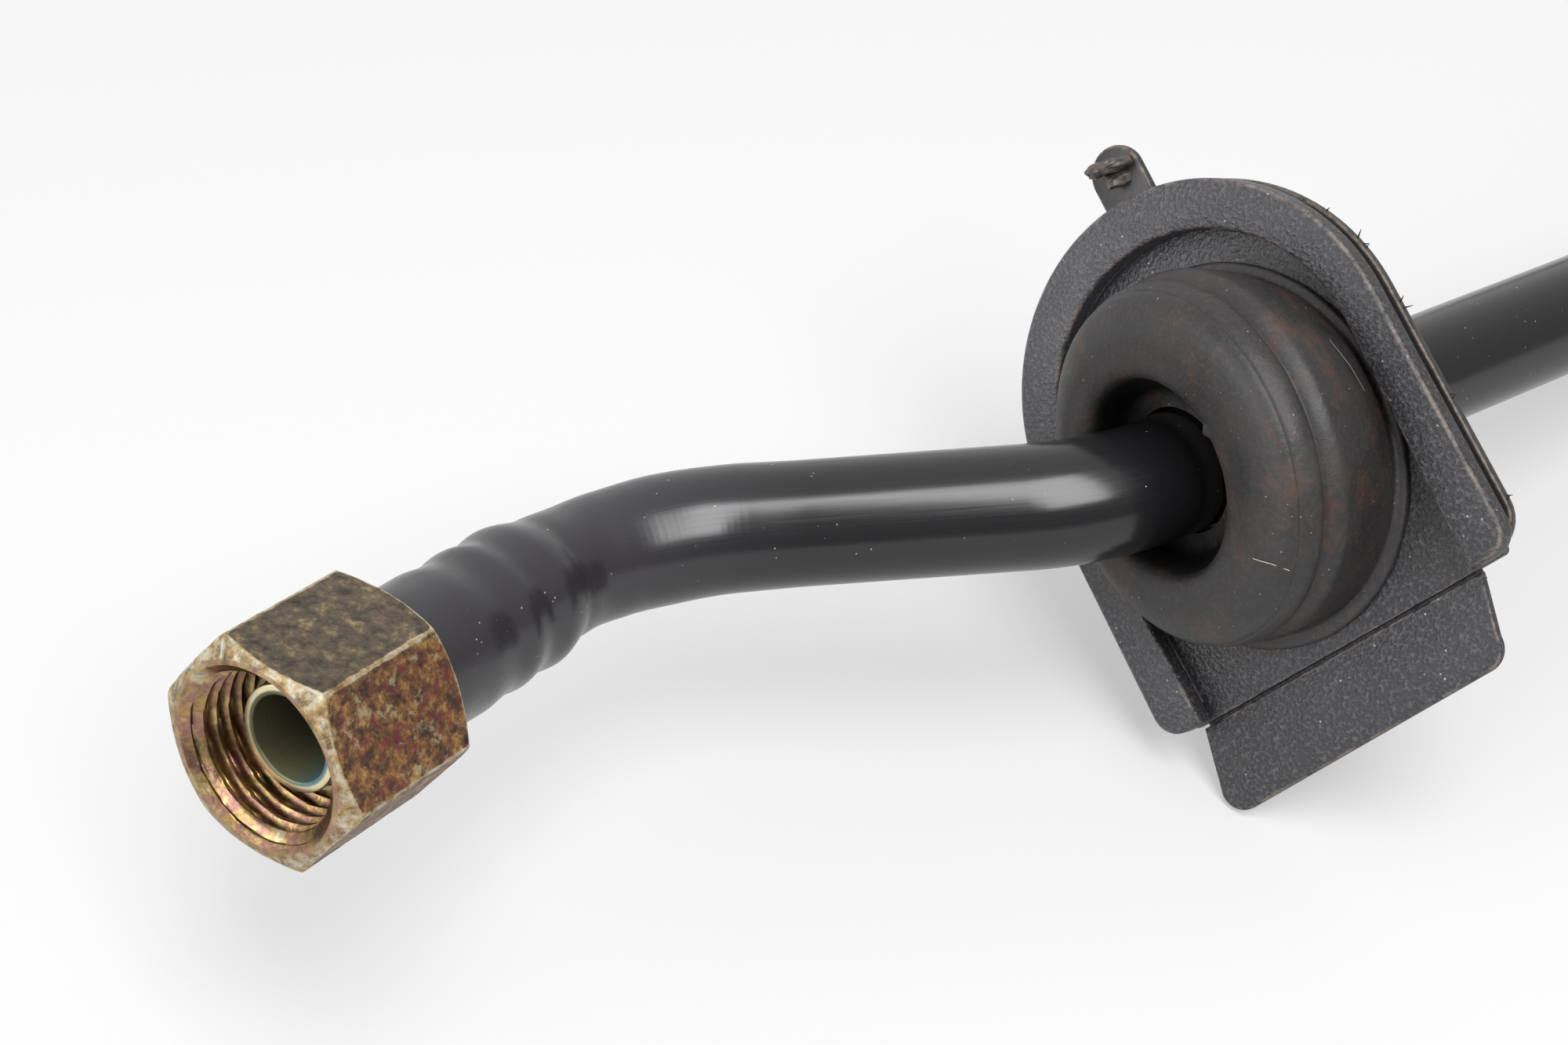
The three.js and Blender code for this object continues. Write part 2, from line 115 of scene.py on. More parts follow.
def makeTable():
    bm = bmesh.new()
    bmesh.ops.create_grid(bm, x_segments=1, y_segments=1, size=stageSet["tableHalf"])
    floor = newObject("floor", bm)
    material = bpy.data.materials.new("whiteTable")
    material.use_nodes = True
    tree = material.node_tree
    tree.nodes.clear()
    matte = addNode(tree, "ShaderNodeBsdfDiffuse", in_Color=(*[stageSet["table"]] * 3, 1))
    glow = addNode(tree, "ShaderNodeEmission", in_Color=srgb("#ffffff"), in_Strength=stageSet["tableGlow"])
    # the glow shows to the camera and in reflections, and lights nothing
    ray = addNode(tree, "ShaderNodeLightPath")
    seenRay = addNode(tree, "ShaderNodeMath", {0: ray.outputs["Is Camera Ray"], 1: ray.outputs["Is Glossy Ray"]})
    both = addNode(tree, "ShaderNodeAddShader", {0: matte.outputs[0], 1: glow.outputs[0]})
    seen = addNode(
        tree, "ShaderNodeMixShader", {0: seenRay.outputs[0], 1: matte.outputs[0], 2: both.outputs[0]},
    )
    out = addNode(tree, "ShaderNodeOutputMaterial", {"Surface": seen.outputs[0]})
    out.is_active_output = True
    floor.data.materials.append(material)


def makeSurroundings():
    world = bpy.data.worlds.new("studio")
    world.use_nodes = True
    tree = world.node_tree
    background = tree.nodes["Background"]
    towards = addNode(tree, "ShaderNodeTexCoord").outputs["Generated"]
    axes = addNode(tree, "ShaderNodeSeparateXYZ", {"Vector": towards}).outputs
    depth = addNode(tree, "ShaderNodeMapRange", {"Value": axes["Y"]}, in_From_Min=-1.0).outputs["Result"]
    across = addNode(
        tree, "ShaderNodeMapRange", {"Value": axes["X"]}, in_From_Min=stageSet["rightFrom"], in_To_Min=1.0,
        in_To_Max=stageSet["rightFade"],
    ).outputs["Result"]
    levels = ramp(tree, depth, (0.0, stageSet["front"]), (0.5, stageSet["side"]), (1.0, stageSet["back"]))
    tree.links.new(levels, background.inputs["Color"])
    tree.links.new(across, background.inputs["Strength"])
    bpy.context.scene.world = world


def newObject(name, bm, smoothAngle=35):
    mesh = bpy.data.meshes.new(name)
    bm.to_mesh(mesh)
    bm.free()
    for face in mesh.polygons:
        face.use_smooth = True
    mesh.set_sharp_from_angle(angle=math.radians(smoothAngle))
    thing = bpy.data.objects.new(name, mesh)
    bpy.context.scene.collection.objects.link(thing)
    return thing


def dress(thing, body, slot, material, *nodes):
    # material, moving body, slot, which is not used, and the solids that the piece stands for
    thing.data.materials.append(material)
    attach(thing, body)
    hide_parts(*nodes)


makeCamera()
makeTable()
makeSurroundings()
for side in ("overhead", "left"):
    makeLamp(side + "Softbox", stageSet[side + "Power"], stageSet[side + "Size"], stageSet[side + "Place"])
print("stage: camera and light")

# the tube's route: corners of its straight runs in mm from the tab's corner, with the bend radius at each

route = [
    ((-86.5, -23.6, 36.3), 0), ((-61.8, 12.7, 25.1), 24.5), ((-14.9, 14.1, 28.4), 23),
    ((111.3, 107.5, 6.1), 90), ((164.2, 146.7, 6.1), 28), ((57.1, 265.6, 6.1), 0),
]


def stationsOf(route, bendStep=2.0):
    # points along the route, each with its distance from the near end and its direction
    corners = [Vector(at) * mm + tabCorner for at, bend in route]
    runs = [(b - a).normalized() for a, b in zip(corners, corners[1:])]
    stations = [(corners[0], runs[0])]
    for k in range(1, len(corners) - 1):
        before, after = runs[k - 1], runs[k]
        turn = before.angle(after)
        axis = before.cross(after).normalized()
        radius = route[k][1] * mm
        start = corners[k] - before * radius * math.tan(turn / 2)
        centre = start + axis.cross(before) * radius
        steps = math.ceil(math.degrees(turn) / bendStep)
        for j in range(steps + 1):
            swing = Matrix.Rotation(turn * j / steps, 3, axis)
            stations.append((centre + swing @ (start - centre), swing @ before))
    stations.append((corners[-1], runs[-1]))
    placed = []
    along = 0.0
    for k, (point, tangent) in enumerate(stations):
        along += (point - stations[k - 1][0]).length if k else 0
        placed.append((along, point, tangent))
    return placed


run = stationsOf(route)
runLength = run[-1][0]


def stationAt(along):
    for a, b in zip(run, run[1:]):
        if along <= b[0] + 1e-9:
            t = (along - a[0]) / (b[0] - a[0])
            return along, a[1].lerp(b[1], t), a[2].lerp(b[2], t).normalized()
    return run[-1]


def stretch(start, end, extra=(), clear=0.2 * mm):
    # the stations between two distances, with extra ones among them
    marks = {round(s[0], 7) for s in run if start + clear < s[0] < end - clear}
    marks |= {round(a, 7) for a in extra if start < a < end} | {start, end}
    return [stationAt(a) for a in sorted(marks)]


def sweep(bm, stations, radiusAt, sides):
    # a skin along the stations, unwrapped as turns around and metres along
    around = bm.verts.layers.float.new("around")
    length = bm.verts.layers.float.new("length")
    facing = Vector((0, 0, 1)).rotation_difference(stations[0][2]).to_matrix()
    place = Matrix.Translation(stations[0][1]) @ facing.to_4x4()
    size = radiusAt(stations[0][0])
    ring = bmesh.ops.create_circle(bm, cap_ends=False, radius=size, segments=sides, matrix=place)["verts"]
    for k, vert in enumerate(ring):
        vert[around] = k / sides
        vert[length] = stations[0][0]
    edges = list({e for v in ring for e in v.link_edges})
    for (_, _, before), (along, point, tangent) in zip(stations, stations[1:]):
        facing = before.rotation_difference(tangent).to_matrix() @ facing
        nextPlace = Matrix.Translation(point) @ facing.to_4x4()
        nextSize = radiusAt(along)
        made = bmesh.ops.extrude_edge_only(bm, edges=edges)["geom"]
        verts = [g for g in made if isinstance(g, bmesh.types.BMVert)]
        fresh = set(verts)
        edges = [g for g in made if isinstance(g, bmesh.types.BMEdge) and set(g.verts) <= fresh]
        grow = nextSize / size
        move = nextPlace @ Matrix.Diagonal((grow, grow, 1, 1)) @ place.inverted()
        bmesh.ops.transform(bm, matrix=move, verts=verts)
        for vert in verts:
            vert[length] = along
        place, size = nextPlace, nextSize
    bmesh.ops.recalc_face_normals(bm, faces=bm.faces[:])
    unwrap = bm.loops.layers.uv.new("route")
    for face in bm.faces:
        turns = [loop.vert[around] for loop in face.loops]
        wraps = max(turns) - min(turns) > 0.5
        for loop, turn in zip(face.loops, turns):
            loop[unwrap].uv = (turn + 1 if wraps and turn < 0.5 else turn, loop.vert[length])


def addWall(thing, thickness):
    wall = thing.modifiers.new("wall", "SOLIDIFY")
    wall.thickness = thickness * mm
    wall.offset = -1


def turnedShape(points, steps):
    # a closed outline of radii and heights, turned around z
    bm = bmesh.new()
    verts = [bm.verts.new((r * mm, 0, z * mm)) for r, z in points]
    edges = [bm.edges.new(pair) for pair in zip(verts, verts[1:] + verts[:1])]
    bmesh.ops.spin(
        bm, geom=verts + edges, cent=(0, 0, 0), axis=(0, 0, 1), dvec=(0, 0, 0),
        angle=math.tau, steps=steps, use_merge=True, use_normal_flip=False, use_duplicate=False,
    )
    bmesh.ops.remove_doubles(bm, verts=bm.verts[:], dist=1e-6)
    bmesh.ops.recalc_face_normals(bm, faces=bm.faces[:])
    return bm


def frameAt(origin, direction, rollDegrees=0.0):
    # its z runs along the direction, and its x stays level before the roll
    z = direction.normalized()
    x = Vector((0, 0, 1)).cross(z).normalized()
    y = z.cross(x)
    basis = Matrix((x, y, z)).transposed() @ Matrix.Rotation(math.radians(rollDegrees), 3, "Z")
    return Matrix.Translation(origin) @ basis.to_4x4()


def addFluff(bm, strands, radius=0.04):
    # fibres and scuff threads lying on a surface; the "fluff" attribute is how white they are
    fluff = bm.verts.layers.float.new("fluff")
    for strength, strand in strands:
        points = [Vector(at) * mm for at in strand]
        for start, end in zip(points, points[1:]):
            piece = bmesh.ops.create_cone(
                bm, cap_ends=True, segments=6, radius1=radius * mm, radius2=radius * mm,
                depth=(end - start).length, matrix=frameAt((start + end) / 2, (end - start).normalized()),
            )
            for vert in piece["verts"]:
                vert[fluff] = strength


def smoothstep(x, low, high):
    t = min(max((x - low) / (high - low), 0.0), 1.0)
    return t * t * (3 - 2 * t)


def curved(rows, perStep):
    # rows of numbers, joined by a smooth curve through them
    out = []
    last = len(rows) - 1
    for k in range(last):
        a, b, c, d = (rows[min(max(j, 0), last)] for j in (k - 1, k, k + 1, k + 2))
        for j in range(perStep):
            t = j / perStep
            out.append([
                0.5 * (2 * q + (r - p) * t + (2 * p - 5 * q + 4 * r - s) * t**2 + (3 * q - p - 3 * r + s) * t**3)
                for p, q, r, s in zip(a, b, c, d)
            ])
    out.append(list(rows[-1]))
    return out


# materials

def newMaterial(name):
    material = bpy.data.materials.new(name)
    material.use_nodes = True
    tree = material.node_tree
    shader = tree.nodes["Principled BSDF"]
    place = addNode(tree, "ShaderNodeTexCoord").outputs["Object"]
    return material, tree, shader, place


def speckle(tree, place, sizeMm, detail=4.0, roughness=0.6):
    return addNode(
        tree, "ShaderNodeTexNoise", {"Vector": place}, in_Scale=1000 / sizeMm, in_Detail=detail,
        in_Roughness=roughness,
    ).outputs["Fac"]


def stretchedNoise(tree, vector, scale):
    drawn = addNode(tree, "ShaderNodeMapping", {"Vector": vector}, in_Scale=scale).outputs["Vector"]
    return addNode(tree, "ShaderNodeTexNoise", {"Vector": drawn}, in_Scale=1.0, in_Detail=3.0).outputs["Fac"]


def mixColour(tree, factor, first, second, blend="MIX"):
    node = addNode(tree, "ShaderNodeMix", data_type="RGBA", blend_type=blend)
    for socket, value in ((node.inputs[0], factor), (node.inputs[6], first), (node.inputs[7], second)):
        if isinstance(value, str):
            socket.default_value = srgb(value)
        elif isinstance(value, (int, float)):
            socket.default_value = value if socket == node.inputs[0] else (value, value, value, 1)
        else:
            tree.links.new(value, socket)
    return node.outputs[2]


def maths(tree, operation, *values, clamp=False):
    node = addNode(tree, "ShaderNodeMath", operation=operation, use_clamp=clamp)
    for socket, value in zip(node.inputs, values):
        if isinstance(value, (int, float)):
            socket.default_value = value
        else:
            tree.links.new(value, socket)
    return node.outputs[0]


def bumpFrom(tree, height, distanceMm, strength=1.0, normal=None):
    links = {"Height": height}
    if normal:
        links["Normal"] = normal
    node = addNode(tree, "ShaderNodeBump", links, in_Strength=strength, in_Distance=distanceMm * mm)
    return node.outputs["Normal"]


def attribute(tree, name):
    return addNode(tree, "ShaderNodeAttribute", attribute_name=name).outputs["Fac"]


def dustSpecks(tree, place, spacingMm, size, patchMm, cover):
    # round specks that lie in patches: size and cover are the ramps that thin the specks and the patches out
    dots = addNode(tree, "ShaderNodeTexVoronoi", {"Vector": place}, in_Scale=1000 / spacingMm).outputs["Distance"]
    patches = ramp(tree, speckle(tree, place, patchMm, 2.0), *cover)
    return maths(tree, "MULTIPLY", ramp(tree, dots, *size), patches)


def inFrame(tree, place, own):
    # object coordinates seen from a piece's own frame
    back = own.inverted()
    return addNode(
        tree, "ShaderNodeMapping", {"Vector": place}, in_Location=back.to_translation(), in_Rotation=back.to_euler(),
    ).outputs["Vector"]


def fromAxis(tree, local):
    # distance from the z axis of a piece's own frame
    flat = addNode(tree, "ShaderNodeVectorMath", {0: local}, operation="MULTIPLY", in_1=(1, 1, 0)).outputs[0]
    return addNode(tree, "ShaderNodeVectorMath", {0: flat}, operation="LENGTH").outputs["Value"]


def polyamideJacket():
    # extruded black polyamide: smooth and glossy, with light rubbing marks along it, and greyer where it was heated,
    # a grey that also paints in a sheen of reflected light
    material, tree, shader, place = newMaterial("extrudedPolyamide")
    along = addNode(tree, "ShaderNodeUVMap", uv_map="route").outputs["UV"]
    marks = stretchedNoise(tree, along, (240, 70, 1))
    shine = ramp(tree, marks, (0.35, 0.16), (0.7, 0.25))
    # heated, and given a painted sheen, up to 42 mm along the tube, and not from 62 mm on
    heatedAndPaintedSheen = ramp(tree, maths(tree, "MULTIPLY", attribute(tree, "length"), 10), (0.42, 1.0), (0.62, 0.0))
    tree.links.new(maths(tree, "MULTIPLY_ADD", heatedAndPaintedSheen, 0.05, shine), shader.inputs["Roughness"])
    # painted sheen: the heated part's lighter grey stands in for reflected light as well as for the heat-dulled
    # surface
    black = mixColour(tree, heatedAndPaintedSheen, "#151517", "#2a282b")
    dust = dustSpecks(tree, place, 1.1, ((0.045, 1.0), (0.085, 0.0)), 4.0, ((0.52, 0.0), (0.6, 1.0)))
    tree.links.new(mixColour(tree, dust, black, "#a9a9a4"), shader.inputs["Base Color"])
    shader.inputs["IOR"].default_value = 1.53
    tree.links.new(bumpFrom(tree, marks, 0.005, 0.6), shader.inputs["Normal"])
    return material


def mouldedRubber():
    # moulded EPDM rubber: matt brown-black, with bloom, dust and a rust stain, and painted shade down in the hole
    material, tree, shader, place = newMaterial("mouldedRubber")
    cloud = speckle(tree, place, 9, 5.0)
    base = ramp(tree, cloud, (0.3, "#1b1919"), (0.55, "#242222"), (0.75, "#2d2826"))
    fine = speckle(tree, place, 0.5, 3.0)
    base = mixColour(tree, ramp(tree, fine, (0.5, 0.0), (0.8, 0.35)), base, "#4a433c")
    stain = maths(tree, "MULTIPLY", ramp(tree, speckle(tree, place, 6, 5.0, 0.7), (0.52, 0.0), (0.68, 0.7)), fine)
    base = mixColour(tree, stain, base, "#5a3827")
    dust = dustSpecks(tree, place, 1.0, ((0.045, 1.0), (0.09, 0.0)), 3.5, ((0.47, 0.0), (0.58, 0.8)))
    base = mixColour(tree, dust, base, "#a0927e")
    # painted shade: the rubber is darkened down inside the hole
    base = mixColour(tree, attribute(tree, "paintedHoleShade"), base, "#0a0909")
    tree.links.new(mixColour(tree, attribute(tree, "fluff"), base, "#b9b4ac"), shader.inputs["Base Color"])
    tree.links.new(ramp(tree, cloud, (0.3, 0.42), (0.7, 0.6)), shader.inputs["Roughness"])
    shader.inputs["IOR"].default_value = 1.5
    creased = bumpFrom(tree, speckle(tree, place, 2.2, 6.0, 0.68), 0.22, 0.7)
    tree.links.new(bumpFrom(tree, fine, 0.04, 0.6, creased), shader.inputs["Normal"])
    return material


def grainedPolyamide():
    # moulded polyamide with a spark-eroded grain of about 0.4 mm, which sparkles under a lamp; painted shade makes
    # it darker to its left
    material, tree, shader, place = newMaterial("grainedPolyamide")
    cloud = speckle(tree, place, 14, 4.0)
    base = ramp(tree, cloud, (0.3, "#2b2a2d"), (0.7, "#39373b"))
    local = addNode(tree, "ShaderNodeSeparateXYZ", {"Vector": inFrame(tree, place, plateFrame)}).outputs
    # painted shade: the colour is darkened across the plate where less light falls; the same gradient also sets the
    # roughness
    across = maths(tree, "MULTIPLY_ADD", maths(tree, "SUBTRACT", local["Y"], local["X"]), 13, 0.5, clamp=True)
    base = mixColour(tree, 1.0, base, ramp(tree, across, (0.1, 0.4), (0.9, 1.0)), "MULTIPLY")
    grain = speckle(tree, place, 0.4, 2.5, 0.6)
    base = mixColour(tree, ramp(tree, grain, (0.5, 0.0), (0.68, 0.5)), base, "#5c5d64")
    streaks = ramp(tree, speckle(tree, place, 2.6, 6.0, 0.75), (0.42, 0.0), (0.6, 0.9))
    scuffed = maths(tree, "MULTIPLY", attribute(tree, "scuffed"), streaks)
    base = mixColour(tree, scuffed, base, "#6f655c")
    dust = dustSpecks(tree, place, 1.3, ((0.05, 1.0), (0.1, 0.0)), 5, ((0.5, 0.0), (0.6, 0.8)))
    tree.links.new(mixColour(tree, dust, base, "#b5aa98"), shader.inputs["Base Color"])
    tree.links.new(ramp(tree, across, (0.1, 0.5), (0.7, 0.33)), shader.inputs["Roughness"])
    shader.inputs["IOR"].default_value = 1.53
    tree.links.new(bumpFrom(tree, grain, 0.19, 1.0), shader.inputs["Normal"])
    return material


def cutRubber():
    # cut and moulded thin rubber, brown-black and scuffed at its edge
    material, tree, shader, place = newMaterial("flangeRubber")
    cloud = speckle(tree, place, 5, 5.0)
    base = ramp(tree, cloud, (0.35, "#1b1a1b"), (0.7, "#2c2827"))
    fibres = ramp(tree, speckle(tree, place, 0.9, 5.0, 0.7), (0.4, 0.0), (0.62, 0.9))
    base = mixColour(tree, maths(tree, "MULTIPLY", attribute(tree, "scuffed"), fibres), base, "#6a5d51")
    tree.links.new(base, shader.inputs["Base Color"])
    shader.inputs["Roughness"].default_value = 0.4
    shader.inputs["IOR"].default_value = 1.5
    tree.links.new(bumpFrom(tree, speckle(tree, place, 0.6, 4.0), 0.05, 0.6), shader.inputs["Normal"])
    return material


def wornZinc():
    # yellow-passivated zinc on turned steel: rubbed grey at its edges, browned on top, rusting on the
    # side that lay damp, still bright and iridescent in the thread
    material, tree, shader, place = newMaterial("wornYellowZinc")
    cloud = speckle(tree, place, 1.25, 9.0, 0.74)
    fine = speckle(tree, place, 0.42, 5.0, 0.6)
    # blotches of about 1.6 mm, a different set in each colour channel
    blotch = addNode(tree, "ShaderNodeTexNoise", {"Vector": place}, in_Scale=620.0, in_Detail=7.0, in_Roughness=0.7)
    blotches = addNode(tree, "ShaderNodeSeparateColor", {"Color": blotch.outputs["Color"]}).outputs
    browned = ramp(tree, cloud, (0.36, "#2e2722"), (0.48, "#4b4134"), (0.57, "#5d503e"), (0.63, "#7d6c4b"),
                   (0.72, "#a78c5c"))
    rusted = ramp(tree, cloud, (0.34, "#241b17"), (0.45, "#4a3325"), (0.53, "#74502f"), (0.6, "#93703f"),
                  (0.7, "#b0935f"))
    crimson = ramp(tree, blotches["Green"], (0.51, 0.0), (0.59, 0.75))
    rusted = mixColour(tree, crimson, rusted, "#66292c")
    pale = ramp(tree, blotches["Blue"], (0.56, 0.0), (0.63, 0.6))
    rusted = mixColour(tree, pale, rusted, "#a59a78")
    outer = mixColour(tree, attribute(tree, "damp"), browned, rusted)
    worn = maths(tree, "ADD", attribute(tree, "rubbed"), maths(tree, "MULTIPLY", cloud, 1.5))
    rubbed = ramp(tree, maths(tree, "MULTIPLY", worn, 0.5), (0.56, 0.0), (0.72, 0.85))
    patches = speckle(tree, place, 1.1, 6.0, 0.68)
    silver = ramp(tree, patches, (0.36, "#715a36"), (0.46, "#9c8457"), (0.54, "#aaa087"), (0.66, "#c4bcaa"))
    outer = mixColour(tree, rubbed, outer, silver)
    tint = speckle(tree, place, 3.2, 3.0)
    bright = ramp(tree, tint, (0.32, "#6b604c"), (0.44, "#a98c5c"), (0.52, "#98706a"), (0.6, "#b89e68"),
                  (0.7, "#bfb79c"))
    bright = mixColour(tree, ramp(tree, cloud, (0.45, 0.0), (0.65, 0.5)), bright, "#4f3d33")
    inside = attribute(tree, "bore")
    tree.links.new(mixColour(tree, inside, outer, bright), shader.inputs["Base Color"])
    tree.links.new(ramp(tree, inside, (0.0, 0.4), (0.9, 1.0)), shader.inputs["Metallic"])
    dull = ramp(tree, cloud, (0.35, 0.62), (0.7, 0.4))
    tree.links.new(mixColour(tree, inside, dull, 0.23), shader.inputs["Roughness"])
    pits = bumpFrom(tree, fine, 0.05, 0.5)
    tree.links.new(bumpFrom(tree, cloud, 0.07, 0.6, pits), shader.inputs["Normal"])
    return material


def platedSteel():
    # drawn steel tube, yellow-passivated zinc plate; its bore was left dull and olive
    material, tree, shader, place = newMaterial("platedSteelTube")
    local = inFrame(tree, place, frameAt(run[0][1], -run[0][2]))
    # all that lies within 4.4 mm of the axis is bore
    inner = ramp(tree, maths(tree, "MULTIPLY", fromAxis(tree, local), 100), (0.43, 1.0), (0.45, 0.0))
    cloud = speckle(tree, place, 2.5, 5.0)
    outside = ramp(tree, cloud, (0.3, "#c9bf92"), (0.7, "#ece5c4"))
    # the bore is darker olive towards one side and teal towards the other
    side = addNode(tree, "ShaderNodeSeparateXYZ", {"Vector": local}).outputs["X"]
    side = maths(tree, "MULTIPLY_ADD", side, 110, 0.5, clamp=True)
    bore = ramp(tree, side, (0.15, "#4f4a34"), (0.5, "#6d6c50"), (0.85, "#52777d"))
    tree.links.new(mixColour(tree, inner, outside, bore), shader.inputs["Base Color"])
    tree.links.new(ramp(tree, inner, (0.0, 1.0), (1.0, 0.35)), shader.inputs["Metallic"])
    rings = stretchedNoise(tree, local, (60, 60, 5200))
    tree.links.new(ramp(tree, rings, (0.3, 0.46), (0.7, 0.26)), shader.inputs["Roughness"])
    tree.links.new(bumpFrom(tree, rings, 0.01, 0.5), shader.inputs["Normal"])
    return material


# steel tube, drawn and cut square

tubeSet = {"outer": 10, "wall": 1, "sides": 72, "deburr": 0.15}


def makeSteelTube():
    bm = bmesh.new()
    sweep(bm, stretch(0, runLength), lambda along: tubeSet["outer"] / 2 * mm, tubeSet["sides"])
    tube = newObject("steelTube", bm)
    addWall(tube, tubeSet["wall"])
    edge = tube.modifiers.new("deburredEnds", "BEVEL")
    edge.width = tubeSet["deburr"] * mm
    edge.segments = 2
    edge.limit_method = "ANGLE"
    edge.angle_limit = math.radians(60)
    dress(tube, "line", "steel_tube", platedSteel(), "steel_tube")


makeSteelTube()
print("steel tube")

# jacket: heated and pushed on, so it is rippled behind the nut

jacketSet = {
    "outer": 12.2, "wall": 0.8, "sides": 96, "start": 11.9, "bareEnd": 12,
    # distance from the jacket's end in the nut, and outside diameter there
    "wave": [(0, 14), (4, 14.15), (7, 14.2), (10.3, 13.6), (12.8, 14.2), (15.3, 13.45), (18, 14.1), (22.5, 12.4),
             (26, 12), (30, 12.25), (36, 12.6), (42, 12.45), (50, 12.2)],
    # lumps over the waves, and where along the jacket they fade out
    "uneven": 0.16, "lumpSize": 5, "fadeFrom": 16, "fadeTo": 34,
    # spacing and number of the mesh's rings over the waves and beyond them
    "waveStep": 0.4, "waveSteps": 130, "plainStep": 6, "plainSteps": 70,
}


def jacketRadius(along):
    fromNut = along / mm - jacketSet["start"]
    wave = jacketSet["wave"]
    for (fromAt, fromOuter), (toAt, toOuter) in zip(wave, wave[1:]):
        if fromNut <= toAt:
            t = smoothstep(fromNut, fromAt, toAt)
            return (fromOuter + (toOuter - fromOuter) * t) / 2 * mm
    return jacketSet["outer"] / 2 * mm


def makeJacket():
    j = jacketSet
    start = j["start"] * mm
    end = runLength - j["bareEnd"] * mm
    fine = [start + k * j["waveStep"] * mm for k in range(1, j["waveSteps"])]
    spread = [start + k * j["plainStep"] * mm for k in range(1, j["plainSteps"])]
    spread = [along for along in spread if along > fine[-1]]
    bm = bmesh.new()
    sweep(bm, stretch(start, end, fine + spread), jacketRadius, j["sides"])
    length = bm.verts.layers.float["length"]
    bm.normal_update()
    for vert in bm.verts:
        fade = 1 - smoothstep(vert[length] / mm - j["start"], j["fadeFrom"], j["fadeTo"])
        if fade > 0:
            uneven = noise.noise(vert.co / (j["lumpSize"] * mm)) * j["uneven"] * fade
            vert.co += vert.normal * uneven * mm
    jacket = newObject("tubeJacket", bm, 60)
    addWall(jacket, j["wall"])
    dress(jacket, "line", "tube_jacket", polyamideJacket(), "tube_jacket")


makeJacket()
print("jacket")

# union nut, turned from hexagon bar, with a cut thread

nutSet = {
    "flats": 19, "length": 15.5, "recess": 4, "roll": -4, "faceCircle": 18, "chamfer": 30,
    "leadIn": 17, "minor": 14.4, "depth": 0.8, "pitch": 1.5, "turns": 6, "rearBore": 11.2, "relief": 0.3,
    # share of each thread pitch that stays crest, and share that is flank; how far the thread runs out
    "crest": 0.22, "flank": 0.62, "runOut": 0.8,
    # rows and steps of the mesh
    "steps": 300, "chamferRows": 20, "flatRows": 34, "threadRow": 0.11,
    # how far the corners are worn down, and over what width
    "cornerWear": 0.1, "cornerWidth": 0.45, "uneven": 0.035, "unevenSize": 1.6,
    # how wide the rubbing shows beside a corner and a chamfer's edge, and how strong it is there, on the
    # chamfers and on the end faces
    "cornerRub": 0.27, "chamferRub": 0.3, "edgeRubbed": 0.9, "chamferRubbed": 0.62, "faceRubbed": 0.6,
    # how much the end faces look like the thread
    "faceBright": 0.55,
    # where the damp side faced, and the cosines to it between which the rust comes up
    "dampTo": (0.75, -0.55, -0.35), "dampFrom": 0.19, "dampFull": 0.3,
}
nutCorner = nutSet["flats"] / math.sqrt(3)
nutFrame = frameAt(run[0][1], -run[0][2])


def nutRows():
    # radii and heights around the nut's outline: end face, chamfer, hexagon, chamfer, end face, bore, thread
    n = nutSet
    front, back = n["recess"], n["recess"] - n["length"]
    lead = (n["leadIn"] - n["minor"]) / 2
    threadEnd = front - lead - n["relief"] - n["turns"] * n["pitch"]
    chamferDepth = (nutCorner - n["faceCircle"] / 2) * math.tan(math.radians(n["chamfer"]))
    rows = [(n["leadIn"] / 2, front), (n["leadIn"] / 4 + n["faceCircle"] / 4, front), (n["faceCircle"] / 2, front)]
    slopes, middle = n["chamferRows"], n["length"] - 2 * chamferDepth
    rows += [(nutCorner, front - chamferDepth * (k + 0.5) / slopes) for k in range(slopes)]
    rows += [(nutCorner, front - chamferDepth - middle * k / n["flatRows"]) for k in range(n["flatRows"] + 1)]
    rows += [(nutCorner, back + chamferDepth * (k - 0.5) / slopes) for k in range(slopes, 0, -1)]
    rear = n["rearBore"] / 2
    rows += [(n["faceCircle"] / 2, back), (rear + n["relief"], back), (rear, back + n["relief"])]
    minor = n["minor"] / 2
    rows += [(rear, threadEnd - (minor - rear))]
    # the last row keeps just inside the end face
    span = front - 0.02 - threadEnd
    count = round(span / n["threadRow"])
    for k in range(count + 1):
        z = threadEnd + span * k / count
        rows.append((max(minor, n["leadIn"] / 2 - (front - z)), z))
    return rows, threadEnd


